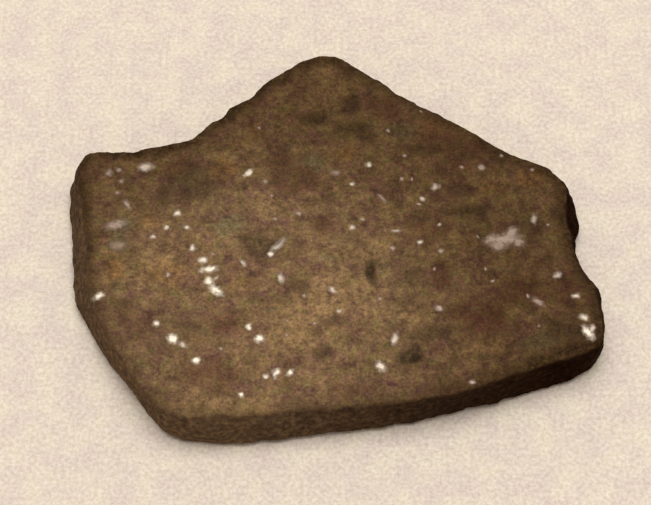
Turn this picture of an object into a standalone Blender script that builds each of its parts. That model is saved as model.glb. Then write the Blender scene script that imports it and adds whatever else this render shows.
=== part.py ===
"""Sawn slice of a stony meteorite, lying on its lower cut face.

The upper and lower faces are flat saw cuts. Between them runs the stone's natural outside: it
leans out at the left, at the right and along the front, stands upright at the front right
corner, and is broken off in small steps along the far side. The cut face has a few shallow
pits where soft inclusions have weathered out, and its edge is chipped here and there.

The origin is on the base, below the middle of the slice. X runs along the slice's length and
Z points up, away from the face that it rests on.
"""

import math

import bmesh
import bpy
from mathutils import Euler, Vector, noise

MM = 0.001

# Driving dimensions, in millimetres
LENGTH = 80.0  # over the leaning rim, along X
THICKNESS = 8.0  # from cut face to cut face
LEAN_DROP = 6.4  # how far below the upper face the rim reaches its whole lean
EDGE_WEAR, WEAR_DROP = 0.2, 0.35  # how far the worn upper edge draws in, and over what height
BASE_TUCK, TUCK_RISE = 0.7, 1.2  # how far the rim draws in to its base, and over what height
LUMP_SIZE, LUMP_HEIGHT = 6.0, 0.6  # broad lumps of the rim
KNOB_SIZE, KNOB_HEIGHT = 2.4, 0.35  # small knobs on the lumps
KNOB_SHIFT = Vector((7.3, 1.9, 4.1))  # sets the knobs apart from the lumps
FAR_COARSER = 1.0  # how much coarser the lumps are at the far side
RELIEF_DROP, RELIEF_RISE = 1.5, 1.0  # lumps fade out over this height at the face and the base
LEDGE_DEPTH = 0.9  # how far the broken far side steps out below its ledge
LEDGE_HEIGHT, LEDGE_WANDER = 4.2, 1.2  # its level above the base, and how far that wanders
LEDGE_WAVES = 9  # how often the ledge would rise and fall in a whole turn
LEDGE_EASE = 0.4  # half the height over which the ledge steps out
CUTTER_RISE = 0.03  # how far above the face the middle of a pit's cutter lies
CUTTER_KNOBS, CUTTER_KNOB_SCALE = 0.3, 1.4  # how knobbly a cutter is, and how fine its knobs are

# How the mesh is made
CURVE_STEPS = 4  # straight runs between two points of the outline
EVENING_ROUNDS = 8  # how often the rim's directions are evened with those beside them
WELD_GAP = 0.001  # points of the raw slab nearer than this are one
SHORTEST_EDGE = 0.08  # nearer points of the shaped rim are made one
FLAT_ANGLE = 0.5  # degrees; faces that bend less than this are one flat face
SHARP_EDGE = 25  # degrees; a bend over this is left sharp
FLAT_NORMAL = 0.5  # a face whose unit normal has more than this along Z is a cap, and else wall

# Levels above the base at which the rim is given a row of points
RIM_LEVELS = (0.35, 1.0, 1.9, 2.8, 3.6, 4.4, 5.2, 6.1, 7.0, 7.7)

# Edge of the upper cut face, clockwise from the far left corner
FACE_EDGE = (
    (-38.5, 10.0), (-37.8, 12.7), (-36.2, 13.8), (-33.5, 13.7), (-31.2, 14.0), (-30.2, 13.9),
    (-29.0, 14.5), (-26.5, 15.1), (-23.5, 15.8), (-21.5, 16.4), (-20.0, 17.7), (-18.6, 19.4),
    (-17.2, 20.1), (-16.0, 21.9), (-14.3, 23.0), (-12.6, 24.0), (-11.3, 25.8), (-9.1, 27.8),
    (-6.4, 29.6), (-3.8, 31.1), (-1.3, 31.7), (0.8, 31.4), (3.0, 29.8), (6.2, 27.4),
    (9.5, 24.5), (15.0, 21.4), (19.5, 18.6), (24.0, 15.5), (27.6, 13.3), (30.6, 12.1),
    (32.4, 11.3), (33.8, 9.9), (34.8, 8.3), (34.6, 5.4), (34.4, 2.8), (34.9, -0.2),
    (35.3, -3.3), (36.0, -5.8), (37.3, -8.0), (38.1, -9.6), (38.5, -11.8), (38.9, -14.8),
    (38.8, -17.2), (38.0, -19.0), (36.4, -20.0), (30.6, -22.0), (23.4, -24.5), (15.4, -27.0),
    (6.8, -28.1), (-3.2, -28.9), (-13.2, -30.0), (-18.4, -30.3), (-21.6, -30.1), (-24.2, -29.1),
    (-26.4, -27.4), (-28.6, -24.4), (-31.1, -20.3), (-33.0, -16.7), (-34.6, -13.0),
    (-36.0, -5.4), (-36.9, 2.0), (-37.8, 6.5),
)

# How far the rim leans out past the face edge: compass angle in degrees from +X, and lean
RIM_LEAN = (
    (-176, 3.0), (-168, 2.7), (-159, 1.2), (-150, 0.6), (-142, 0.2), (-136, 0.2), (-130, 0.5),
    (-118, 1.1), (-96, 1.0), (-87, 0.6), (-79, 0.4), (-71, 0.1), (-58, -0.1), (-45, 0.1),
    (-36, 0.5), (-29, -0.3), (-23, 0.3), (-18, 1.3), (-13, 1.6), (-9, 2.1), (-4, 1.2), (2, 1.3),
    (6, 2.1), (13, 1.8), (18, 1.1), (22, 0.7), (40, 0.6), (62, 0.4), (92, 0.2), (110, 0.4),
    (142, 0.6), (156, 1.5), (164, 1.9), (172, 2.1),
)

# Stretch of the compass along which the far side is broken in steps
LEDGE_FROM, LEDGE_TO, LEDGE_FADE = 98, 158, 10

# Shallow pits in the upper face: name, place, half length, half width, depth, turn in degrees
FACE_PITS = (
    ("pit_left_hollow", (-10.4, -1.7), 3.0, 1.8, 0.55, 12),
    ("pit_middle", (-4.9, -9.0), 1.4, 1.7, 0.40, 0),
    ("pit_crack", (5.6, -6.9), 0.55, 2.5, 0.80, 12),
    ("pit_crack_head", (5.0, -4.5), 1.3, 1.0, 0.40, -20),
    ("pit_front", (11.2, -20.8), 1.9, 1.7, 0.70, 10),
    ("pit_far", (-2.2, 19.6), 1.3, 1.1, 0.45, 0),
    ("pit_far_right", (3.4, 17.4), 2.0, 0.8, 0.30, -8),
    ("pit_front_left", (-1.9, -20.0), 1.2, 1.1, 0.40, 0),
)

# Chips out of the edge of the upper face, listed in the same way
EDGE_CHIPS = (
    ("chip_far_left", (-30.2, 14.2), 1.0, 0.8, 1.3, 0),
    ("chip_far_step", (-18.3, 20.0), 1.9, 0.9, 0.9, 38),
    ("chip_far_edge", (-10.2, 27.0), 2.4, 0.9, 0.8, 42),
    ("chip_right_corner", (33.6, 10.0), 2.2, 0.7, 0.6, -58),
)

# Dents weathered into the rim: compass angle, level, half width, half height and depth
RIM_DENTS = (
    (148, 3.0, 3.4, 2.2, 0.7), (121, 3.6, 3.0, 2.4, 0.8), (104, 2.6, 2.6, 1.6, 0.5),
    (64, 4.4, 4.6, 1.9, 0.5), (38, 3.0, 3.6, 1.8, 0.5), (-9, 4.4, 2.4, 1.9, 0.5),
    (-36, 3.4, 3.2, 1.6, 0.3), (-74, 4.6, 5.0, 1.6, 0.25), (-112, 3.2, 3.8, 1.5, 0.25),
    (-136, 1.8, 3.0, 3.2, 1.1), (-163, 4.0, 3.0, 1.6, 0.35), (176, 3.4, 2.8, 1.8, 0.4),
)


def clear_scene():
    for old in list(bpy.data.objects):
        bpy.data.objects.remove(old, do_unlink=True)


def new_collection(name):
    made = bpy.data.collections.new(name)
    bpy.context.scene.collection.children.link(made)
    return made


def linear(channel):
    """One sRGB channel, 0 to 255, as the linear value that a material takes."""
    share = channel / 255
    return share / 12.92 if share <= 0.04045 else ((share + 0.055) / 1.055) ** 2.4


def stone_material():
    """Matte brown weathered stone."""
    material = bpy.data.materials.new("weathered_chondrite")
    material.use_nodes = True
    shader = material.node_tree.nodes["Principled BSDF"]
    brown = [linear(channel) for channel in (0x6E, 0x55, 0x3A)]
    shader.inputs["Base Color"].default_value = (*brown, 1)
    shader.inputs["Roughness"].default_value = 0.85
    shader.inputs["Metallic"].default_value = 0
    material.diffuse_color = (*brown, 1)
    return material


def slab_curve(collection):
    """The face edge as a filled flat curve, as thick as the slice and with its base at zero."""
    data = bpy.data.curves.new("slice_outline", "CURVE")
    data.dimensions = "2D"
    data.fill_mode = "BOTH"
    data.extrude = THICKNESS / 2 * MM
    data.resolution_u = CURVE_STEPS
    spline = data.splines.new("BEZIER")
    spline.bezier_points.add(len(FACE_EDGE) - 1)
    for knot, (x, y) in zip(spline.bezier_points, FACE_EDGE):
        knot.co = (x * MM, y * MM, 0)
        knot.handle_left_type = knot.handle_right_type = "AUTO"
    spline.use_cyclic_u = True
    curve = bpy.data.objects.new("slice_outline", data)
    curve.location.z = THICKNESS / 2 * MM
    collection.objects.link(curve)
    return curve


def mesh_of_curve(curve, name, collection):
    """A mesh object with the curve's shape, its caps welded on and in world space. The curve goes."""
    bpy.context.view_layer.update()
    evaluated = curve.evaluated_get(bpy.context.evaluated_depsgraph_get())
    mesh = bpy.data.meshes.new_from_object(evaluated)
    mesh.transform(curve.matrix_world)
    mesh.name = name
    made = bpy.data.objects.new(name, mesh)
    collection.objects.link(made)
    bpy.data.objects.remove(curve, do_unlink=True)
    return made


def table_value(table, angle):
    """The table's value at a compass angle, eased from one entry to the next all the way round."""
    wrapped = [(table[-1][0] - 360, table[-1][1]), *table, (table[0][0] + 360, table[0][1])]
    for (start, first), (end, last) in zip(wrapped, wrapped[1:]):
        if start <= angle <= end:
            share = (angle - start) / (end - start)
            return first + (last - first) * share * share * (3 - 2 * share)
    return table[0][1]


def ramp(value, start, end):
    """0 up to start, 1 from end on, and straight between them."""
    return min(1.0, max(0.0, (value - start) / (end - start)))


def lean_share(height):
    """How much of the rim's lean shows at a height: none at the cut face, all of it near the base."""
    return math.sin(math.pi / 2 * ramp(THICKNESS - height, 0, LEAN_DROP))


def ledge(angle, height):
    """The step out of the broken far side, below its ledge."""
    along = ramp(angle, LEDGE_FROM, LEDGE_FROM + LEDGE_FADE)
    along *= 1 - ramp(angle, LEDGE_TO - LEDGE_FADE, LEDGE_TO)
    level = LEDGE_HEIGHT + LEDGE_WANDER * math.sin(math.radians(angle * LEDGE_WAVES))
    return LEDGE_DEPTH * along * (1 - ramp(height, level - LEDGE_EASE, level + LEDGE_EASE))


def dents(place, angle, height):
    """How far the rim's dents draw it in at a point."""
    radius = math.hypot(place.x, place.y) / MM
    total = 0
    for middle, level, half_width, half_height, depth in RIM_DENTS:
        turn = math.radians((angle - middle + 180) % 360 - 180)
        off = (turn * radius / half_width) ** 2 + ((height - level) / half_height) ** 2
        total += depth * math.exp(-off)
    return total


def relief(place, angle, height):
    """Lumps and knobs of the natural rim, coarser on the broken far side."""
    point = Vector((place.x / MM, place.y / MM, height))
    lumps = LUMP_HEIGHT * noise.noise(point / LUMP_SIZE)
    knobs = KNOB_HEIGHT * noise.noise(point / KNOB_SIZE + KNOB_SHIFT)
    coarseness = 1 + FAR_COARSER * max(0.0, math.sin(math.radians(angle)))
    fade = ramp(THICKNESS - height, 0, RELIEF_DROP) * ramp(height, -RELIEF_RISE / 2, RELIEF_RISE)
    return fade * ((lumps + knobs) * coarseness - dents(place, angle, height))


def edge_draw(height):
    """How far the rim is drawn in at the worn upper edge and above the base."""
    wear = EDGE_WEAR * (1 - ramp(THICKNESS - height, 0, WEAR_DROP))
    tuck = BASE_TUCK * (1 - ramp(height, 0, TUCK_RISE)) ** 2
    return wear + tuck


def outward_directions(bm):
    """For each point the level direction out of the rim, evened along it so that nothing crosses."""
    out = {}
    for vert in bm.verts:
        walls = [face.normal for face in vert.link_faces if abs(face.normal.z) < FLAT_NORMAL]
        total = sum(walls, Vector())
        out[vert] = Vector((total.x, total.y, 0)).normalized()
    beside = {vert: [edge.other_vert(vert) for edge in vert.link_edges
                     if edge.other_vert(vert).co.z == vert.co.z] for vert in bm.verts}
    for _ in range(EVENING_ROUNDS):
        out = {vert: sum((out[near] for near in beside[vert]), out[vert]).normalized()
               for vert in bm.verts}
    return out


def weld_slab(bm):
    """Joins the caps to the wall, makes each cap one flat face, and cuts the rim's rows."""
    bmesh.ops.remove_doubles(bm, verts=bm.verts, dist=WELD_GAP * MM)
    bm.normal_update()
    inside_caps = [edge for edge in bm.edges
                   if all(abs(face.normal.z) > FLAT_NORMAL for face in edge.link_faces)]
    bmesh.ops.dissolve_limit(bm, angle_limit=math.radians(FLAT_ANGLE), edges=inside_caps)
    for level in RIM_LEVELS:
        everything = [*bm.verts, *bm.edges, *bm.faces]
        bmesh.ops.bisect_plane(bm, geom=everything, dist=WELD_GAP * MM,
                               plane_co=(0, 0, level * MM), plane_no=(0, 0, 1))
    bm.normal_update()


def shape_rim(mesh):
    """Gives the upright wall of the slab its lean, its ledge, its dents and its lumps."""
    bm = bmesh.new()
    bm.from_mesh(mesh)
    weld_slab(bm)
    directions = outward_directions(bm)
    for vert in bm.verts:
        angle = math.degrees(math.atan2(vert.co.y, vert.co.x))
        height = vert.co.z / MM
        move = table_value(RIM_LEAN, angle) * lean_share(height)
        move += ledge(angle, height) + relief(vert.co, angle, height) - edge_draw(height)
        vert.co += directions[vert] * move * MM
    bmesh.ops.remove_doubles(bm, verts=bm.verts, dist=SHORTEST_EDGE * MM)
    bmesh.ops.recalc_face_normals(bm, faces=bm.faces)
    bm.to_mesh(mesh)
    bm.free()


def settle(mesh):
    """Brings the slab to its length, with its middle over the origin."""
    xs = [vert.co.x for vert in mesh.vertices]
    ys = [vert.co.y for vert in mesh.vertices]
    size = LENGTH * MM / (max(xs) - min(xs))
    middle = Vector(((max(xs) + min(xs)) / 2, (max(ys) + min(ys)) / 2, 0))
    for vert in mesh.vertices:
        place = vert.co - middle
        vert.co = (place.x * size, place.y * size, vert.co.z)


def scoop(name, place, half_sizes, turn, collection):
    """A knobbly flattened ball that cuts a shallow bowl where it reaches into the stone."""
    ball = bmesh.new()
    bmesh.ops.create_icosphere(ball, subdivisions=2, radius=1)
    for vert in ball.verts:
        vert.co *= 1 + CUTTER_KNOBS * noise.noise(vert.co * CUTTER_KNOB_SCALE + Vector(place))
    mesh = bpy.data.meshes.new(name)
    ball.to_mesh(mesh)
    ball.free()
    cutter = bpy.data.objects.new(name, mesh)
    cutter.location = Vector(place) * MM
    cutter.rotation_euler = Euler((0, 0, math.radians(turn)))
    cutter.scale = Vector(half_sizes) * MM
    cutter.hide_render = True
    cutter.display_type = "WIRE"
    collection.objects.link(cutter)
    return cutter


def cut_with(stone, cutter):
    """Takes the cutter out of the stone."""
    cut = stone.modifiers.new(cutter.name, "BOOLEAN")
    cut.operation = "DIFFERENCE"
    cut.object = cutter
    cut.solver = "EXACT"


def main():
    clear_scene()
    stone_collection = new_collection("Meteorite slice")
    cutters = new_collection("Cutters")
    cutters.hide_render = True
    stone = mesh_of_curve(slab_curve(stone_collection), "meteorite_slice", stone_collection)
    shape_rim(stone.data)
    settle(stone.data)
    stone.data.materials.clear()
    stone.data.materials.append(stone_material())
    for name, (x, y), along, across, depth, turn in FACE_PITS + EDGE_CHIPS:
        place = (x, y, THICKNESS + CUTTER_RISE)
        cut_with(stone, scoop(name, place, (along, across, depth), turn, cutters))
    stone.data.shade_smooth()
    stone.data.set_sharp_from_angle(angle=math.radians(SHARP_EDGE))


main()
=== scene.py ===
# %% [markdown]
# A sawn slice of a stony meteorite
#
# The real thing is one flat piece of stone, 80 mm long and 8 mm thick. A saw cut its two broad
# faces, and between them runs the stone's own weathered outside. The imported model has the
# outline, the lean of the rim and the larger pits. The cells below give the stone its fine
# surface, the mottled brown of the cut face and the bright grains of metal in it.

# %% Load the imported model
import math

import bpy
import numpy as np
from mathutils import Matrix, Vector, kdtree, noise


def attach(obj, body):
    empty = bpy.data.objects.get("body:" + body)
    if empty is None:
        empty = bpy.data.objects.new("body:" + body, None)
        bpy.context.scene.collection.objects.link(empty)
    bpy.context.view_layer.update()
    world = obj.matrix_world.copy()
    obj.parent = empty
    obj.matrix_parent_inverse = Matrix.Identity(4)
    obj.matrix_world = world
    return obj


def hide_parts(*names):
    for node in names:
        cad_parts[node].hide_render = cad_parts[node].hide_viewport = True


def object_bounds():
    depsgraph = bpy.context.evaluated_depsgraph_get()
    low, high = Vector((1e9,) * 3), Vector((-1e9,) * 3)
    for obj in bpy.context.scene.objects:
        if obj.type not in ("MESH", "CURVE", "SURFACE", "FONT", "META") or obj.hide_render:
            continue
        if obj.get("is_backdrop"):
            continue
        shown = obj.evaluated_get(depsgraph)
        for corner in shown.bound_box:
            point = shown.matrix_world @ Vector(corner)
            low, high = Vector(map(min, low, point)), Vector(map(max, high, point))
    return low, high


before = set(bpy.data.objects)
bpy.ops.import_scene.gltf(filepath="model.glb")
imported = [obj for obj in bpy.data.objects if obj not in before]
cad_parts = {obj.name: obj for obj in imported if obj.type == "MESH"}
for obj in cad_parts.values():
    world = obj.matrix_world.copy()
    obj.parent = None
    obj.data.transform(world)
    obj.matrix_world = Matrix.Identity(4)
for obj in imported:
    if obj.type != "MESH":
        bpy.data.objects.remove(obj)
packed_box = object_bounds()
MM = 0.001
LENGTH, DEPTH, THICKNESS = (packed_box[1] - packed_box[0]) / MM
print(f"the slice is {LENGTH:.1f} x {DEPTH:.1f} x {THICKNESS:.1f} mm")

# %% [markdown]
# The camera
#
# The photograph looks down at the slice from in front, about 60 degrees above the surface, through
# a long lens, so that lengths shrink very little with distance. The focal length isn't guessed: it
# follows from the distance and from the width that the picture spans where the slice lies.

# %% Camera
CAMERA_ELEVATION = math.radians(60.5)
CAMERA_DISTANCE = 350 * MM
PICTURE_SPAN = 98.4 * MM  # what the picture's width covers at the point that the camera aims at
AIM = Vector((-1.05, 0.4, 0)) * MM
SENSOR_WIDTH = 36  # millimetres, as the camera's own settings are
SEES_FROM = CAMERA_DISTANCE / 10  # nothing nearer than this is drawn

back = Vector((0, -math.cos(CAMERA_ELEVATION), math.sin(CAMERA_ELEVATION)))
bpy.ops.object.camera_add(location=AIM + back * CAMERA_DISTANCE,
                          rotation=(math.pi / 2 - CAMERA_ELEVATION, 0, 0))
camera = bpy.context.object
camera.data.sensor_width = SENSOR_WIDTH
camera.data.lens = SENSOR_WIDTH * CAMERA_DISTANCE / PICTURE_SPAN
camera.data.clip_start = SEES_FROM
bpy.context.scene.camera = camera
print(f"the lens is {camera.data.lens:.0f} mm")

# %% [markdown]
# Colours and nodes
#
# A picture shows sRGB values, and a shader counts in linear light, so one function turns a hex
# colour into what a node takes. One more function adds a node, sets it and joins it to others, so
# that a material reads as a list of what goes into it.

# %% Helpers for materials
def paint(hex_colour):
    """An sRGB hex colour as linear RGBA."""
    channels = [int(hex_colour[at:at + 2], 16) / 255 for at in (1, 3, 5)]
    linear = [c / 12.92 if c <= 0.04045 else ((c + 0.055) / 1.055) ** 2.4 for c in channels]
    return (*linear, 1)


def add(tree, kind, inputs, stops=(), **settings):
    """Adds a node. inputs holds a value or another node's output for each socket it fills."""
    made = tree.nodes.new(kind)
    for name, value in settings.items():
        setattr(made, name, value)
    for key, value in inputs.items():
        socket = next(one for one in made.inputs if key in (one.identifier, one.name))
        if isinstance(value, bpy.types.NodeSocket):
            tree.links.new(value, socket)
        else:
            socket.default_value = value
    for number, (position, hex_colour) in enumerate(stops):
        held = made.color_ramp.elements
        stop = held[number] if number < len(held) else held.new(position)
        stop.position = position
        stop.color = paint(hex_colour)
    return made


MIXED = 2  # a Mix node's colour is the third of its outputs


def new_look(name):
    """A material with no nodes in it yet, and its node tree."""
    look = bpy.data.materials.new(name)
    look.use_nodes = True
    look.node_tree.nodes.clear()
    return look, look.node_tree


def per_size(millimetres):
    """The scale that makes a pattern's features this large."""
    return 1 / (millimetres * MM)


print(f"half grey is {paint('#808080')[0]:.2f} in linear light")

# %% [markdown]
# The surface under the stone
#
# The slice lies on a cream coloured board with a matt, slightly uneven coat of paint. A plane far
# larger than the picture is enough. Two noises, one of clouds 4 mm across that turn from pinkish to
# yellowish and one of small soft spots, keep the coat from looking like flat paper.

# %% Floor
FLOOR_WIDTH = 3.0  # metres
FLOOR_GAP = 0.02 * MM  # keeps the floor and the stone's flat base from sharing one plane
CLOUD_SIZE, SPOT_SIZE = 4, 0.6  # millimetres
SPOT_SHARE = 0.45  # how much the spots count in the coat's colour, against the clouds
COAT_RELIEF, COAT_UNEVENNESS = 0.05, 0.3  # its height in millimetres, and how much of it shows
COAT_ROUGHNESS, COAT_SHINE = 0.9, 0.2  # matt paint
bpy.ops.mesh.primitive_plane_add(size=FLOOR_WIDTH, location=(0, 0, -FLOOR_GAP))
floor = bpy.context.object
floor.name = "floor"

board, tree = new_look("matt_painted_board")
place = add(tree, "ShaderNodeTexCoord", {}).outputs["Object"]
clouds = add(tree, "ShaderNodeTexNoise",
             {"Vector": place, "Scale": per_size(CLOUD_SIZE), "Detail": 3}).outputs["Fac"]
spots = add(tree, "ShaderNodeTexNoise", {
    "Vector": place, "Scale": per_size(SPOT_SIZE), "Detail": 3, "Roughness": 0.7}).outputs["Fac"]
cloudy = add(tree, "ShaderNodeValToRGB", {"Fac": clouds},
             stops=((0.35, "#d1bfb6"), (0.65, "#e0d4bd"))).outputs["Color"]
spotty = add(tree, "ShaderNodeValToRGB", {"Fac": spots},
             stops=((0.3, "#b5a391"), (0.7, "#f9f1e6"))).outputs["Color"]
coat = add(tree, "ShaderNodeMix", {
    "Factor_Float": SPOT_SHARE, "A_Color": cloudy, "B_Color": spotty},
    data_type="RGBA").outputs[MIXED]
uneven = add(tree, "ShaderNodeBump", {
    "Strength": COAT_UNEVENNESS, "Distance": COAT_RELIEF * MM, "Height": spots}).outputs["Normal"]
matt_paint = add(tree, "ShaderNodeBsdfPrincipled", {
    "Base Color": coat, "Roughness": COAT_ROUGHNESS, "Specular IOR Level": COAT_SHINE,
    "Normal": uneven}).outputs["BSDF"]
add(tree, "ShaderNodeOutputMaterial", {"Surface": matt_paint})
floor.data.materials.append(board)
floor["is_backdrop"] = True
print(f"the board is {FLOOR_WIDTH:.0f} m wide")

# %% [markdown]
# The light
#
# The shadow is soft and short and lies all round the slice, so the main light is broad and hangs
# almost straight above it, only slightly behind. From there it also shines off the cut face towards
# the camera, and that is why the metal grains are bright. A dim, even light from all round fills in
# the rim, which stays darker than the face.

# %% Lights
AMBIENT = 0.45  # strength of the even light from all round


def softbox(name, toward, distance, width, power):
    """A square soft light that stands this way and this far from the slice, and faces it."""
    direction = Vector(toward).normalized()
    bpy.ops.object.light_add(type="AREA", location=direction * distance)
    lamp = bpy.context.object
    lamp.name = name
    lamp.rotation_euler = direction.to_track_quat("Z", "Y").to_euler()
    lamp.data.size = width
    lamp.data.energy = power
    return lamp


lamp = softbox("main_softbox", toward=(0.02, 0.08, 1.0), distance=1.5, width=1.0, power=19)
world = bpy.data.worlds.new("even_room_light")
world.use_nodes = True
room = world.node_tree.nodes["Background"]
room.inputs["Color"].default_value = paint("#fff6ea")
room.inputs["Strength"].default_value = AMBIENT
bpy.context.scene.world = world
bpy.context.scene.view_settings.view_transform = "Standard"
print(f"{lamp.name} gives {lamp.data.energy:.0f} W from {lamp.location.length:.1f} m above")

# %% [markdown]
# A copy of the stone to carve
#
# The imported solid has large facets. A copy of it is merged, then built anew from small even
# squares, fine enough to hold the grit of a broken stone. The underside is a plain saw cut that
# nobody sees close up, so most of its squares are taken out again.

# %% Copy and remesh
WELD_GAP = 0.001  # millimetres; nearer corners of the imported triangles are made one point
SQUARE = 0.25  # millimetres between points of the new mesh
THINNED_TO = 0.62  # share of the faces that is left, once the underside is thinned


def pick(piece):
    """Makes one piece the only one that is selected, and the active one."""
    bpy.ops.object.select_all(action="DESELECT")
    piece.select_set(True)
    bpy.context.view_layer.objects.active = piece


def shape_with(piece, kind, **settings):
    """Adds a modifier, sets it and applies it."""
    modifier = piece.modifiers.new(kind.lower(), kind)
    for name, value in settings.items():
        setattr(modifier, name, value)
    pick(piece)
    bpy.ops.object.modifier_apply(modifier=modifier.name)


def points_of(piece):
    """Where the piece's points are, in millimetres, one row each."""
    flat = np.empty(len(piece.data.vertices) * 3)
    piece.data.vertices.foreach_get("co", flat)
    return flat.reshape(-1, 3) / MM


def mark(piece, name, weights):
    """Makes a vertex group, with one weight for each point."""
    group = piece.vertex_groups.new(name=name)
    for number in np.nonzero(weights)[0]:
        group.add([int(number)], float(weights[number]), "REPLACE")


stone = bpy.data.objects.new("stone_slice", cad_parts["meteorite_slice"].data.copy())
bpy.context.collection.objects.link(stone)
pick(stone)
bpy.ops.object.mode_set(mode="EDIT")
bpy.ops.mesh.select_all(action="SELECT")
bpy.ops.mesh.remove_doubles(threshold=WELD_GAP * MM)
bpy.ops.object.mode_set(mode="OBJECT")
shape_with(stone, "REMESH", mode="VOXEL", voxel_size=SQUARE * MM)
print(f"remeshed to {len(stone.data.polygons)} squares")

# %% [markdown]
# Parts of the surface
#
# The cut faces are flat and nearly smooth, and the rim is rough, so each gets its own vertex group.
# A point belongs to the rim if it lies below the upper face and above the base. The pits in the
# cut face lie lower too, so a point near the top also has to be close to the outline. The outline
# is a ring of points of the wall, taken below the deepest pit. Two more groups hold the edge where
# face and rim meet, which is called the arris, and the face inside it with its pits.

# %% Vertex groups by place
RING_FROM, RING_TO = 6.5, 7.0  # heights above the base between which the ring is taken
RIM_REACH = 1.6  # a point of the rim near the top is at most this far in from the ring
RIM_STARTS, RIM_WHOLE = 0.1, 0.5  # depths below a cut face where the rim begins and is all there
ARRIS_DEPTH = 0.9  # the worn arris reaches down this far


def ease(values, start, end):
    """0 at start, 1 at end, and a smooth step between."""
    share = np.clip((values - start) / (end - start), 0, 1)
    return share * share * (3 - 2 * share)


def distance_in(points):
    """How far each point lies, seen from above, from the ring round the outline."""
    ring = points[(points[:, 2] > RING_FROM) & (points[:, 2] < RING_TO)]
    tree = kdtree.KDTree(len(ring))
    for number, (x, y, _) in enumerate(ring):
        tree.insert((x, y, 0), number)
    tree.balance()
    return np.array([tree.find((x, y, 0))[2] for x, y, _ in points])


def rim_share(points, inwards):
    """1 on the natural rim, 0 on the cut faces and in their pits."""
    depth = np.minimum(THICKNESS - points[:, 2], points[:, 2])
    near = (points[:, 2] < RING_FROM) | (inwards < RIM_REACH)
    return ease(depth, RIM_STARTS, RIM_WHOLE) * near


points = points_of(stone)
mark(stone, "underside", (points[:, 2] < RIM_STARTS).astype(float))
shape_with(stone, "DECIMATE", ratio=THINNED_TO, vertex_group="underside")
points = points_of(stone)
inwards = distance_in(points)
rim = rim_share(points, inwards)
upper = points[:, 2] > THICKNESS / 2
mark(stone, "natural_rim", rim)
mark(stone, "cut_face", (1 - rim) * upper)
mark(stone, "inner_face", ((inwards > RIM_REACH) & upper).astype(float))
mark(stone, "worn_arris", ease(ARRIS_DEPTH - (THICKNESS - points[:, 2]), 0, ARRIS_DEPTH / 2)
     * ease(RIM_REACH - inwards, 0, RIM_REACH / 2))
print(f"{len(points)} points, {np.count_nonzero(rim)} of them on the rim")

# %% [markdown]
# Weathered relief
#
# On the real stone the arris is rubbed round, the rim is lumpy and gritty where minerals have
# weathered out, and the cut face is only faintly uneven. One Smooth modifier rubs the arris down,
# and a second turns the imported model's faceted pits into soft hollows. Displace modifiers with
# cloud textures of known size and height then raise the relief, each held to its own vertex group.

# %% Relief
RUBBED_EACH_ROUND = 0.5  # how far a round takes a point towards the middle of its neighbours
ARRIS_ROUNDS, PIT_ROUNDS = 8, 12
RELIEF = (  # name, size of its features and height in millimetres, vertex group
    ("rim_lumps", 3.2, 0.40, "natural_rim"),
    ("rim_knobs", 1.3, 0.26, "natural_rim"),
    ("rim_grit", 0.6, 0.14, "natural_rim"),
    ("arris_nicks", 1.8, 0.16, "worn_arris"),
    ("arris_grit", 0.8, 0.12, "worn_arris"),
    ("face_swells", 5.0, 0.05, "cut_face"),
    ("face_grit", 0.9, 0.03, "cut_face"),
)
for rounds, group in ((ARRIS_ROUNDS, "worn_arris"), (PIT_ROUNDS, "inner_face")):
    shape_with(stone, "SMOOTH", factor=RUBBED_EACH_ROUND, iterations=rounds, vertex_group=group)
for name, size, height, group in RELIEF:
    texture = bpy.data.textures.new(name, "CLOUDS")
    texture.noise_scale = size * MM
    shape_with(stone, "DISPLACE", texture=texture, strength=height * MM, mid_level=0.5,
               vertex_group=group)
print(f"the surface has {sum(len(face.vertices) - 2 for face in stone.data.polygons)} triangles")

# %% [markdown]
# Stains, and shade painted in the pits
#
# The cut face isn't one brown. Iron has rusted into orange and plum coloured patches, and darker
# inclusions and a few olive ones show between them. The dark tint is also painted shade, laid into
# the hollow at the left and into the crack. The larger patches are given one by one, as soft ovals
# with wandering edges, into one layer for each tint. They go right through the slice, so that the
# lower face has them too. The material reads the layers and breaks them up with finer patterns.

# %% Stain layers
WANDER, WANDER_SIZE = 1.3, 3.0  # how far the edge of a patch wanders, and over what length
NOISES_APART = Vector((31.4, 7.7, 12.9))  # one noise shifts along X, one read elsewhere along Y
CORE, FADE = 0.45, 1.35  # where a patch starts to fade and where it ends, as shares of its size
# painted light and the stone's own tone: lightest in this oval at the lower left, darker outwards
LIGHT_REGION = (-11, -14, 40, 38, 0)  # the face is lightest in this oval and darkens outwards
LIGHT_CORE = 0.2  # share of the oval from which it starts to darken
PLACES_FROM = np.array((-0.1, -0.4))  # places on the cut face are listed from this point

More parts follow.
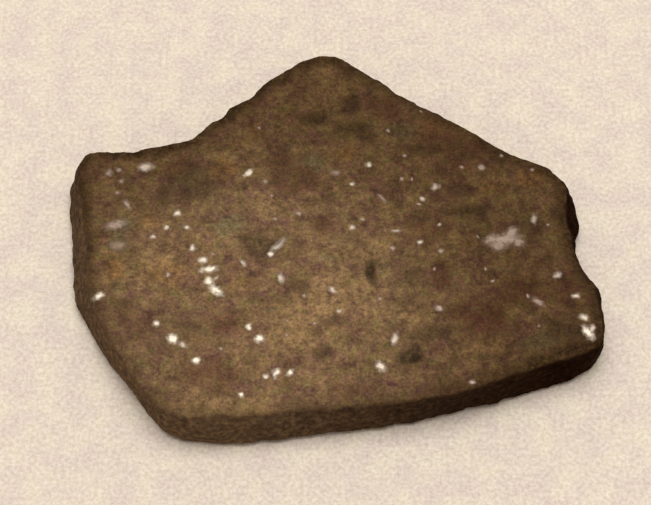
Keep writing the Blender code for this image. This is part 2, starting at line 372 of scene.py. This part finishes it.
# Tint, middle, half length, half width, turn in degrees, strength
STAINS = (
    # painted shade: the dark oval at -10.5, -2 lies in the hollow and the one at 5.5, -7 in the
    # crack
    ("dark_and_pit_shade", -22.0, 8.0, 5.5, 3.0, 25, 0.6), ("dark_and_pit_shade", -10.5, -2.0, 3.5, 2.0, 0, 0.8),
    ("dark_and_pit_shade", -5.0, -9.0, 1.5, 2.0, 0, 0.6), ("dark_and_pit_shade", 5.5, -7.0, 1.0, 2.5, 10, 1.0),
    ("dark_and_pit_shade", 11.0, -21.0, 2.5, 2.0, 0, 1.0), ("dark_and_pit_shade", -2.5, 19.5, 2.0, 1.5, 0, 0.8),
    ("dark_and_pit_shade", 3.5, 17.5, 2.5, 1.5, 0, 0.7), ("dark_and_pit_shade", -2.0, -20.0, 1.5, 1.5, 0, 0.7),
    ("dark_and_pit_shade", 12.0, -7.5, 1.5, 2.0, 0, 0.5), ("dark_and_pit_shade", 20.5, 3.0, 3.5, 1.5, 0, 0.6),
    ("dark_and_pit_shade", 30.0, 1.0, 2.5, 2.0, 0, 0.5), ("dark_and_pit_shade", 14.0, -17.5, 3.0, 1.0, 0, 0.5),
    ("dark_and_pit_shade", -19.5, 9.5, 1.5, 2.0, 0, 0.5), ("dark_and_pit_shade", 33.5, -16.5, 2.5, 2.5, 0, 0.5),
    ("dark_and_pit_shade", 0.0, -15.0, 1.5, 1.0, 0, 0.5), ("dark_and_pit_shade", -23.0, -16.5, 5.0, 4.0, 0, 0.35),
    ("dark_and_pit_shade", -4.5, -3.5, 2.5, 1.5, 0, 0.35), ("dark_and_pit_shade", 3.0, 22.0, 2.0, 2.0, 0, 0.5),
    ("dark_and_pit_shade", 13.5, 14.0, 2.5, 1.5, 0, 0.5), ("dark_and_pit_shade", 19.5, 7.0, 2.0, 1.5, 0, 0.5),
    ("dark_and_pit_shade", 25.5, 12.0, 1.5, 1.0, 0, 0.4), ("dark_and_pit_shade", 31.5, 10.5, 1.5, 1.5, 0, 0.6),
    ("plum", 22.0, -14.0, 5.0, 4.0, 0, 0.6), ("plum", 16.0, -7.0, 2.0, 2.0, 0, 0.7),
    ("plum", 18.5, 14.0, 6.0, 4.0, -30, 0.4), ("plum", -23.5, 10.5, 3.0, 1.5, 0, 0.5),
    ("plum", -15.5, -15.0, 3.0, 2.0, 0, 0.5), ("plum", -5.0, 8.5, 4.5, 2.5, 0, 0.5),
    ("plum", -1.0, 1.0, 2.0, 2.5, 0, 0.6), ("plum", -17.5, -24.0, 5.0, 2.5, 0, 0.5),
    ("plum", -28.5, -15.0, 4.0, 2.5, -40, 0.4), ("plum", 3.0, -26.0, 4.0, 1.5, 0, 0.4),
    ("plum", 8.0, 21.5, 3.5, 2.0, -30, 0.5), ("plum", 28.0, -10.0, 4.0, 3.0, 0, 0.6),
    ("plum", 34.0, -10.0, 2.0, 4.0, 0, 0.5), ("plum", -7.5, 12.0, 3.5, 2.5, 0, 0.4),
    ("plum", 14.5, 0.5, 3.5, 2.5, 0, 0.5), ("plum", 17.0, 16.0, 2.5, 1.5, 0, 0.6),
    ("rust", -16.5, 11.0, 2.0, 2.0, 0, 0.6), ("rust", 2.5, 13.5, 2.0, 1.5, 0, 0.7),
    ("rust", -32.0, -6.5, 1.5, 2.0, 0, 0.7), ("rust", -24.5, -7.0, 3.5, 2.5, 0, 0.5),
    ("rust", 30.0, 9.0, 2.0, 2.0, 0, 0.6), ("rust", 23.5, 7.0, 2.5, 1.5, 0, 0.4),
    ("rust", 15.0, 18.0, 2.0, 1.5, -30, 0.5), ("rust", -12.0, 17.5, 1.5, 1.5, 0, 0.4),
    ("rust", -13.0, -9.0, 2.5, 1.5, 0, 0.4), ("rust", -27.0, 1.5, 1.5, 1.5, 0, 0.5),
    ("ochre", 12.0, -14.5, 4.0, 2.0, 0, 0.7), ("ochre", -1.0, -11.0, 4.0, 4.5, 0, 0.5),
    ("ochre", 5.5, -3.5, 4.5, 2.0, 0, 0.6), ("ochre", -5.0, -16.5, 3.5, 4.5, 0, 0.5),
    ("ochre", -14.5, -28.5, 7.5, 1.5, 0, 0.6), ("ochre", -26.5, -5.5, 5.5, 4.0, 0, 0.4),
    ("ochre", -9.0, 4.0, 3.0, 2.5, 0, 0.4), ("ochre", 22.0, -19.5, 4.0, 1.5, 10, 0.4),
    ("ochre", -0.5, 26.5, 4.0, 3.0, 0, 0.5), ("ochre", 4.0, -11.5, 3.5, 4.0, 0, 0.4),
    ("olive", -15.0, 1.0, 2.5, 2.0, 0, 0.6), ("olive", -3.0, 12.0, 2.0, 1.5, 0, 0.6),
    ("olive", 10.5, 17.5, 2.5, 1.5, 0, 0.5), ("olive", 29.5, -18.5, 2.5, 1.5, 20, 0.5),
    ("olive", -31.5, -0.5, 2.0, 3.0, 0, 0.6),
)


def wandering(points, size, reach):
    """The points, seen from above and each shifted a little by two smooth noises."""
    spots = [Vector(point) / size for point in points]
    shift = [(noise.noise(spot), noise.noise(spot + NOISES_APART)) for spot in spots]
    return points[:, :2] - PLACES_FROM + np.array(shift) * reach


def oval(places, x, y, half_length, half_width, turn):
    """How far out each place lies in an oval: 0 at its middle and 1 on its edge."""
    angle = math.radians(turn)
    along = (places[:, 0] - x) * math.cos(angle) + (places[:, 1] - y) * math.sin(angle)
    across = (places[:, 1] - y) * math.cos(angle) - (places[:, 0] - x) * math.sin(angle)
    return np.hypot(along / half_length, across / half_width)


def paint_layer(piece, name, values):
    """Keeps one number for each point of the piece, for its material to read."""
    layer = piece.data.attributes.new(name, "FLOAT", "POINT")
    layer.data.foreach_set("value", values)


points = points_of(stone)
upper = points[:, 2] > THICKNESS / 2
wandered = wandering(points, WANDER_SIZE, WANDER)
far_out = oval(wandered, *LIGHT_REGION)
paint_layer(stone, "tone_and_painted_light", 1 - ease(far_out, LIGHT_CORE, 1))
for tint in ("dark_and_pit_shade", "plum", "rust", "ochre", "olive"):
    layer = np.zeros(len(points))
    for _, x, y, half_length, half_width, turn, strength in (s for s in STAINS if s[0] == tint):
        out = oval(wandered, x, y, half_length, half_width, turn)
        layer = np.maximum(layer, strength * (1 - ease(out, CORE, FADE)))
    paint_layer(stone, tint, layer)
    print(f"{tint}: {np.count_nonzero(layer)} points")

# %% [markdown]
# Grains of metal
#
# Bright grains of iron and nickel are scattered through the stone, ground flush with the cut face.
# They are drawn where the photograph shows them, by one layer that is 1 in the middle of a grain
# and falls outwards, and one that says how bright the grain is: partly its own polish and tarnish,
# and partly a painted glint, since the grains that catch the light are set brighter. The material
# cuts the first layer off within a few tenths of a millimetre, so that a grain's outline is crisper
# than the mesh.
# A third layer marks the lower half of the stone, where the material scatters grains by itself.

# %% Metal layers
GRAIN_WANDER, GRAIN_WANDER_SIZE = 0.25, 0.8
GRAIN_MARGIN = 1.8  # the layers reach this many times a grain's size, to leave its edge room

# Middle, half length, half width, turn in degrees, shine from 0 for dull to 1 for bright; the
# shine is partly the grain's tarnish and partly a painted glint
GRAINS = (
    (-28.0, 11.0, 1.0, 0.7, 15, 0.7), (-33.5, 10.0, 0.6, 0.6, 0, 0.4),
    (-32.0, 10.5, 0.5, 0.4, 0, 0.3), (-31.5, 8.5, 0.4, 0.4, 0, 0.3),
    (-32.0, 6.5, 0.4, 0.3, 0, 0.3), (-30.5, 4.5, 0.9, 0.4, -65, 0.5),
    (-23.0, 3.0, 0.5, 0.5, 0, 0.9), (-24.5, 0.5, 0.4, 0.4, 0, 0.8),
    (-21.5, 0.5, 0.4, 0.4, 0, 0.8), (-26.5, -1.0, 0.4, 0.4, 0, 0.8),
    (-32.0, 1.0, 1.6, 0.8, 15, 0.4), (-31.5, -2.5, 1.3, 0.8, 0, 0.1),
    (-12.5, 10.0, 0.8, 0.4, 45, 1.0), (-10.0, 8.5, 0.4, 0.4, 0, 0.4),
    (-5.0, 3.0, 0.5, 0.4, 0, 0.5), (-20.5, -3.0, 0.5, 0.5, 0, 0.8),
    (-19.0, -5.0, 0.7, 0.5, 0, 0.9), (-18.0, -6.5, 1.2, 0.5, 10, 1.0),
    (-18.0, -8.5, 0.7, 0.6, -50, 1.0), (-17.0, -8.0, 0.5, 0.3, 30, 0.6),
    (-17.0, -10.0, 1.2, 0.6, -40, 1.0), (-8.0, -2.5, 1.4, 0.5, 45, 0.7),
    (-9.0, -4.0, 0.5, 0.4, 45, 0.9), (0.5, 10.0, 0.7, 0.5, 0, 0.2),
    (5.5, 11.5, 0.5, 0.4, 0, 0.8), (3.0, 8.0, 0.4, 0.4, 0, 0.8),
    (7.5, 5.5, 1.0, 0.3, -45, 0.3), (15.5, 7.5, 0.7, 0.5, 20, 0.6),
    (13.5, 5.5, 0.4, 0.4, 0, 0.7), (22.5, 11.0, 0.5, 0.5, 0, 0.5),
    (30.0, 2.0, 0.8, 0.4, 90, 0.6), (16.0, 1.0, 0.3, 0.3, 0, 0.6),
    (3.0, 0.5, 0.4, 0.4, 0, 0.8), (4.5, 2.0, 0.4, 0.3, 0, 0.4),
    (9.5, 0.0, 0.8, 0.3, 10, 0.6), (13.0, -2.0, 0.4, 0.4, 0, 0.8),
    (9.0, -3.0, 0.4, 0.4, 0, 0.4), (16.0, -3.5, 0.4, 0.4, 0, 0.5),
    (25.5, -1.5, 2.4, 1.0, 10, 0.4), (23.5, -1.5, 1.1, 0.7, 20, 0.4),
    (26.5, -0.5, 1.3, 0.8, 60, 0.4), (27.5, -2.0, 1.0, 0.7, -20, 0.3),
    (24.5, -2.5, 1.2, 0.9, 0, 0.3), (-34.0, -11.0, 0.9, 0.5, 25, 1.0),
    (-25.5, -15.5, 0.5, 0.5, 0, 0.9), (-23.0, -18.0, 0.8, 0.7, -40, 1.0),
    (-21.5, -19.0, 0.8, 0.4, -40, 0.6), (-19.5, -21.5, 0.6, 0.5, 20, 1.0),
    (-24.0, -7.5, 0.4, 0.4, 0, 0.5), (-13.0, -5.5, 0.6, 0.3, -60, 0.7),
    (-7.5, -8.0, 0.8, 0.5, -75, 0.7), (-12.0, -16.0, 0.5, 0.4, 90, 0.9),
    (-10.5, -18.0, 0.7, 0.6, 0, 1.0), (0.0, -10.0, 0.7, 0.4, -35, 0.7),
    (1.0, -13.5, 0.4, 0.4, 0, 0.6), (-9.5, -24.0, 0.5, 0.4, 60, 0.8),
    (-8.0, -23.5, 0.8, 0.5, 65, 0.9), (-6.0, -23.5, 0.6, 0.4, 45, 1.0),
    (-13.0, -27.0, 0.4, 0.4, 0, 0.9), (9.0, -18.0, 1.0, 0.5, 80, 0.7),
    (7.0, -22.5, 0.9, 0.6, -60, 0.8), (15.5, -13.0, 0.7, 0.4, -15, 0.5),
    (33.0, -7.5, 0.6, 0.5, 45, 0.6), (30.0, -12.0, 1.0, 0.5, -35, 0.3),
    (35.5, -11.0, 0.6, 0.4, 20, 0.7), (36.5, -14.5, 0.7, 0.5, -20, 0.8),
    (37.0, -17.0, 1.2, 0.6, -60, 1.0), (37.5, -16.5, 0.8, 0.4, 70, 0.7),
    (20.0, -25.0, 0.5, 0.4, 0, 0.4),
)
SPECKS = (  # grains that are barely more than a dot, all alike
    (-9.0, 6.0), (-11.0, 18.0), (-17.5, -4.0), (-8.5, 2.0), (11.0, 13.0), (10.5, 9.0),
    (12.0, 9.0), (13.0, 4.5), (13.5, 21.0), (19.5, 11.0), (25.5, 13.0), (30.0, 10.5),
    (21.5, -1.0), (32.0, 1.0), (8.5, 17.5), (-16.0, -19.5), (-6.5, -15.0), (-2.5, -15.5),
    (-6.5, -17.5), (-4.0, -11.0), (7.0, -11.5), (15.0, -6.5), (23.5, -8.5), (22.5, -6.5),
    (30.0, -16.0), (28.5, -11.0),
)
SPECK_SIZE, SPECK_SHINE = 0.28, 0.5

grains = GRAINS + tuple((x, y, SPECK_SIZE, SPECK_SIZE, 0, SPECK_SHINE) for x, y in SPECKS)
wandered = wandering(points, GRAIN_WANDER_SIZE, GRAIN_WANDER)
metal = np.zeros(len(points))
shine = np.zeros(len(points))
for x, y, half_length, half_width, turn, brightness in grains:
    inside = 1 - oval(wandered, x, y, half_length, half_width, turn) / GRAIN_MARGIN
    shine = np.where(inside > metal, brightness, shine)
    metal = np.maximum(metal, inside)
paint_layer(stone, "metal", metal * upper)
paint_layer(stone, "shine", np.where(upper, shine, SPECK_SHINE))
paint_layer(stone, "lower_face", 1.0 - upper)
print(f"{len(grains)} grains of metal")

# %% [markdown]
# Layers for the rim
#
# The rim's crust isn't equally dark all round: it is brown at the left and nearly black at the
# front right and in the bite. That is partly the crust's own colour and partly painted shade on the
# sides that turn away from the light. A short table by compass angle, eased round the whole rim,
# says how light the crust and its painted shade are. One more layer darkens the cut face close to
# its edge, mostly at the far side.

# %% Rim layers
# Compass angle in degrees from +X, and how light the crust is there: its own colour together with
# painted shade on the sides away from the light
CRUST_LIGHT_AND_SHADE = (
    (-170, 0.8), (-150, 1.0), (-130, 1.0), (-110, 0.9), (-90, 0.65), (-75, 0.4), (-60, 0.2),
    (-45, 0.1), (-32, 0.0), (-22, 0.1), (-12, 0.1), (-5, 0.0), (10, 0.0), (40, 0.5), (90, 0.7),
    (135, 0.7), (160, 0.65),
)
# Compass angle, and how dark the stain along the face's edge is there
EDGE_STAIN = ((-170, 0.6), (-120, 0.3), (-60, 0.4), (-35, 0.9), (0, 0.8), (60, 0.6), (150, 0.9))
EDGE_STAIN_WIDTH = 1.4
CRUST_FADE = 0.9  # how far below the cut face the crust has reached its own colour

compass = np.degrees(np.arctan2(points[:, 1], points[:, 0]))
inwards = distance_in(points)
crust_light_and_shade = np.interp(compass, *zip(*CRUST_LIGHT_AND_SHADE), period=360)
edge = np.interp(compass, *zip(*EDGE_STAIN), period=360)
edge *= 1 - ease(inwards, EDGE_STAIN_WIDTH / 2, EDGE_STAIN_WIDTH * 2)
below = np.minimum(THICKNESS - points[:, 2], points[:, 2])
covered = ease(below, 0, CRUST_FADE) * (rim_share(points, inwards) > 0)
paint_layer(stone, "crust", covered)
# painted shade: the crust is made darker where the rim turns away from the light
paint_layer(stone, "crust_light_and_shade", crust_light_and_shade)
paint_layer(stone, "edge_stain", edge)
print(f"crust covers {np.count_nonzero(covered)} points")

# %% [markdown]
# Weathered chondrite
#
# The stone is an ordinary chondrite: a dense mass of tiny round beads and broken crystals, sawn,
# left unpolished and browned by rust. That gives a matt surface with hardly any shine and a brown
# that changes hue every few millimetres. The material is built in five steps: patterns of real
# sizes, the brown of the cut face, the crust, the metal, and last the fine relief. The first step
# only measures: five noises and a cell pattern for the beads, all in the stone's own coordinates.

# %% Patterns of the stone
# Size of the features in millimetres, detail, roughness and distortion
PATTERNS = {
    "hues": (4.0, 6, 0.75, 0.4),
    "blotches": (2.2, 3, 0.6, 0.3),
    "mottles": (0.9, 3, 0.65, 0.2),
    "minerals": (1.2, 4, 0.7, 0.0),
    "sand": (0.42, 2, 0.7, 0.0),  # the real grit is finer, and is drawn this coarse to show at all
}
BEAD_SIZE = 1.1  # most beads are 0.5 to 1.5 mm across

chondrite, tree = new_look("weathered_chondrite")
place = add(tree, "ShaderNodeTexCoord", {}).outputs["Object"]
pattern = {}
for name, (size, detail, roughness, distortion) in PATTERNS.items():
    made = add(tree, "ShaderNodeTexNoise", {
        "Vector": place, "Scale": per_size(size), "Detail": detail, "Roughness": roughness,
        "Distortion": distortion})
    pattern[name] = made.outputs["Fac"]
beads = add(tree, "ShaderNodeTexVoronoi", {"Vector": place, "Scale": per_size(BEAD_SIZE)})
bead_tone = add(tree, "ShaderNodeSeparateColor", {"Color": beads.outputs["Color"]}).outputs[0]
layer = {name: add(tree, "ShaderNodeAttribute", {}, attribute_name=name).outputs["Fac"]
         for name in ("dark_and_pit_shade", "plum", "rust", "ochre", "olive", "metal", "shine", "crust",
                      "crust_light_and_shade", "edge_stain", "tone_and_painted_light", "lower_face")}
print(f"{len(pattern)} noises, one cell pattern and {len(layer)} painted layers")

# %% [markdown]
# The brown of the cut face
#
# Rust has browned the minerals unevenly, from plum through brown to olive. One colour ramp follows
# the broad hues, a second the single minerals, and the painted stains, with the shade painted into
# the hollow and the crack, are laid over both, broken up by the mottles so that no oval shows. At
# last each pattern makes the brown lighter or darker, the last of them a broad painted light that
# is brightest at the lower left and is partly the stone's own tone, and the face's darker outskirts
# a little redder.

# %% Brown of the cut face
# What is read, the lowest and highest value that count, and how light the brown is at each
TONES = (
    (pattern["blotches"], 0.3, 0.7, 0.68, 1.32), (pattern["mottles"], 0.3, 0.7, 0.74, 1.26),
    (pattern["sand"], 0.3, 0.7, 0.68, 1.32), (bead_tone, 0.0, 1.0, 0.95, 1.05),
    # the last tone is painted light together with the face's own tone, brightest at the lower left
    (layer["tone_and_painted_light"], 0.0, 1.0, 0.56, 1.10),
)
MINERAL_SHARE = 0.45  # how much the single minerals count, against the broad hues
BROKEN_FROM, BROKEN_TO = 0.35, 0.6  # values of the mottles where a stain is thinnest and thickest
THINNEST, THICKEST = 0.3, 1.2  # how much of its strength a stain has there
brown = add(tree, "ShaderNodeValToRGB", {"Fac": pattern["hues"]}, stops=(
    (0.32, "#584038"), (0.42, "#6a4b38"), (0.50, "#755b40"), (0.58, "#7d623c"),
    (0.68, "#675f4b"))).outputs["Color"]
minerals = add(tree, "ShaderNodeValToRGB", {"Fac": pattern["minerals"]}, stops=(
    (0.34, "#4b353b"), (0.5, "#6b523d"), (0.66, "#6b673f"))).outputs["Color"]
brown = add(tree, "ShaderNodeMix", {"Factor_Float": MINERAL_SHARE, "A_Color": brown,
            "B_Color": minerals}, data_type="RGBA").outputs[MIXED]
# the dark tint is partly dark inclusions and partly shade painted into the hollow and the crack
STAIN_TINTS = (
    ("ochre", "#866b48"), ("olive", "#6a6144"), ("rust", "#82603a"), ("plum", "#4b2b21"),
    ("dark_and_pit_shade", "#3b2f20"), ("edge_stain", "#3c2c1a"),
)
broken = add(tree, "ShaderNodeMapRange", {
    "Value": pattern["mottles"], "From Min": BROKEN_FROM, "From Max": BROKEN_TO,
    "To Min": THINNEST, "To Max": THICKEST}).outputs[0]
for name, tint in STAIN_TINTS:
    cover = add(tree, "ShaderNodeMath", {"Value": layer[name], "Value_001": broken},
                operation="MULTIPLY", use_clamp=True).outputs[0]
    brown = add(tree, "ShaderNodeMix", {"Factor_Float": cover, "A_Color": brown,
                "B_Color": paint(tint)}, data_type="RGBA").outputs[MIXED]
for value, from_low, from_high, darkest, lightest in TONES:
    tone_and_painted_light = add(tree, "ShaderNodeMapRange", {
        "Value": value, "From Min": from_low, "From Max": from_high, "To Min": darkest,
        "To Max": lightest}).outputs[0]
    brown = add(tree, "ShaderNodeVectorMath", {"Vector": brown, "Scale": tone_and_painted_light},
                operation="SCALE").outputs["Vector"]

# where that painted light fades, the brown is tinted a little redder
redder = add(tree, "ShaderNodeValToRGB", {"Fac": layer["tone_and_painted_light"]}, stops=(
    (0.0, "#fff7ea"), (0.7, "#ffffff"))).outputs["Color"]
brown = add(tree, "ShaderNodeMix", {"Factor_Float": 1.0, "A_Color": brown, "B_Color": redder},
            data_type="RGBA", blend_type="MULTIPLY").outputs[MIXED]
print(f"{len(STAIN_TINTS)} stains and {len(TONES)} tones lie over the brown")

# %% [markdown]
# The crust of the rim
#
# The stone's natural outside is a weathered crust, brown at the left and nearly black at the front
# right, partly from its own colour and partly from painted shade on the side away from the light. A
# ramp over the mottles gives each of the two its spots, and the layer of lightness and painted
# shade mixes them. The crust layer then says where crust ends and cut face begins.

# %% Crust of the rim
BROWN_CRUST = ((0.32, "#463628"), (0.5, "#5e4936"), (0.66, "#775f45"))
# nearly black: the crust's own dark colour with painted shade in it, for the front right and the
# bite
BLACK_CRUST_AND_SHADE = ((0.32, "#100200"), (0.5, "#180700"), (0.66, "#271206"))
brown_crust, black_crust_and_shade = (
    add(tree, "ShaderNodeValToRGB", {"Fac": pattern["mottles"]}, stops=stops).outputs["Color"]
    for stops in (BROWN_CRUST, BLACK_CRUST_AND_SHADE))
# painted shade: the crust turns towards the near-black ramp where the rim faces away from the light
crust = add(tree, "ShaderNodeMix", {"Factor_Float": layer["crust_light_and_shade"], "A_Color": black_crust_and_shade,
            "B_Color": brown_crust}, data_type="RGBA").outputs[MIXED]
stone_colour = add(tree, "ShaderNodeMix", {"Factor_Float": layer["crust"], "A_Color": brown,
                   "B_Color": crust}, data_type="RGBA").outputs[MIXED]
print(f"the crust runs from {BLACK_CRUST_AND_SHADE[0][1]} to {BROWN_CRUST[-1][1]}")

# %% [markdown]
# The metal in the stone
#
# Sawn iron and nickel is pale grey and half shiny, and dulls to a brownish grey where it has begun
# to rust. The shine layer picks each grain's colour between the two, partly for that rust and
# partly as a painted glint on the grains that catch the light. The painted layer, roughened by a
# small noise, says where a grain is. No photograph shows the underside, so grains are scattered
# there by a
# cell pattern: some cells, picked by their random colour, hold one round grain each.

# %% Metal in the stone
GRAIN_EDGE = 1 - 1 / GRAIN_MARGIN  # value of the metal layer at a grain's edge
GRAIN_STARTS, GRAIN_WHOLE = GRAIN_EDGE - 0.24, GRAIN_EDGE + 0.32  # from stone to all metal
RAGGED_SIZE, RAGGED_SHARE = 0.5, 0.5  # size in millimetres and height of an outline's bumps
FLECK_SPACING = 3.2  # millimetres between the places on the underside that may hold a grain
FLECK_REACH, FLECK_FADE = 0.25, 0.05  # largest grain and its soft edge, as shares of the spacing
EMPTY_PLACES = 0.5  # share of the places that hold none
ragged = add(tree, "ShaderNodeTexNoise", {
    "Vector": place, "Scale": per_size(RAGGED_SIZE), "Detail": 1}).outputs["Fac"]
ragged = add(tree, "ShaderNodeMath", {
    "Value": ragged, "Value_001": RAGGED_SHARE, "Value_002": -RAGGED_SHARE / 2},
    operation="MULTIPLY_ADD").outputs[0]
grain = add(tree, "ShaderNodeMath", {"Value": layer["metal"], "Value_001": ragged},
            operation="ADD").outputs[0]
grain = add(tree, "ShaderNodeMapRange", {
    "Value": grain, "From Min": GRAIN_STARTS, "From Max": GRAIN_WHOLE}).outputs[0]
cells = add(tree, "ShaderNodeTexVoronoi", {"Vector": place, "Scale": per_size(FLECK_SPACING)})
chance = add(tree, "ShaderNodeSeparateColor", {"Color": cells.outputs["Color"]}).outputs[0]
reach = add(tree, "ShaderNodeMapRange", {
    "Value": chance, "From Min": EMPTY_PLACES, "To Max": FLECK_REACH}).outputs[0]
fleck = add(tree, "ShaderNodeMath", {"Value": reach, "Value_001": cells.outputs["Distance"]},
            operation="SUBTRACT").outputs[0]
fleck = add(tree, "ShaderNodeMapRange", {
    "Value": fleck, "From Max": FLECK_FADE, "To Max": layer["lower_face"]}).outputs[0]
bare = add(tree, "ShaderNodeMath", {"Value": 1.0, "Value_001": layer["crust"]},
           operation="SUBTRACT").outputs[0]
fleck = add(tree, "ShaderNodeMath", {"Value": fleck, "Value_001": bare},
            operation="MULTIPLY").outputs[0]
grain = add(tree, "ShaderNodeMath", {"Value": grain, "Value_001": fleck},
            operation="MAXIMUM").outputs[0]
# paler for more shine: the grain's own polish with a painted glint
metal_colour = add(tree, "ShaderNodeValToRGB", {"Fac": layer["shine"]}, stops=(
    (0.0, "#6a5846"), (0.5, "#88766a"), (1.0, "#c4b8a6"))).outputs["Color"]
surface_colour = add(tree, "ShaderNodeMix", {"Factor_Float": grain, "A_Color": stone_colour,
                     "B_Color": metal_colour}, data_type="RGBA").outputs[MIXED]
print(f"the underside may hold a grain every {FLECK_SPACING} mm")

# %% [markdown]
# Fine relief and shine
#
# A sawn, unpolished stone is matt, and its grit is finer than the mesh, so a weak bump of a few
# hundredths of a millimetre stands for it. Metal grinds smoother than stone, so a grain has less of
# the bump, a lower roughness and the metallic value of 1, all led by the same grain layer.

# %% Fine relief and the finished material
STONE_ROUGHNESS, METAL_ROUGHNESS = 0.88, 0.42
STONE_GRIT, METAL_GRIT = 0.5, 0.1  # how much of the fine relief shows on each
GRIT_HEIGHT = 0.08  # millimetres
STONE_SHINE = 0.02  # a dusty saw cut hardly reflects, far less than smooth stone
grit = add(tree, "ShaderNodeMath", {"Value": pattern["sand"], "Value_001": pattern["mottles"]},
           operation="ADD").outputs[0]
relief_share = add(tree, "ShaderNodeMapRange", {
    "Value": grain, "To Min": STONE_GRIT, "To Max": METAL_GRIT}).outputs[0]
fine_relief = add(tree, "ShaderNodeBump", {
    "Strength": relief_share, "Distance": GRIT_HEIGHT * MM, "Height": grit}).outputs["Normal"]
dull = add(tree, "ShaderNodeMapRange", {
    "Value": grain, "To Min": STONE_ROUGHNESS, "To Max": METAL_ROUGHNESS}).outputs[0]
matt_stone = add(tree, "ShaderNodeBsdfPrincipled", {
    "Base Color": surface_colour, "Roughness": dull, "Metallic": grain,
    "Specular IOR Level": STONE_SHINE, "Normal": fine_relief}).outputs["BSDF"]
add(tree, "ShaderNodeOutputMaterial", {"Surface": matt_stone})
stone.data.materials.clear()
stone.data.materials.append(chondrite)
stone.data.shade_smooth()
print(f"{chondrite.name} has {len(tree.nodes)} nodes")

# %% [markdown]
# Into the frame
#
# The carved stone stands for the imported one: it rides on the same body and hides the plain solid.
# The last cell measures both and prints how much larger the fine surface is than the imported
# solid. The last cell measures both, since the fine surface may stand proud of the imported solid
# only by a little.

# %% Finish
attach(stone, "root")
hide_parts("meteorite_slice")
visual_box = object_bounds()
grown = (visual_box[1] - visual_box[0]) - (packed_box[1] - packed_box[0])
print("the visual model is larger by " + ", ".join(f"{side / MM:.2f}" for side in grown) + " mm")
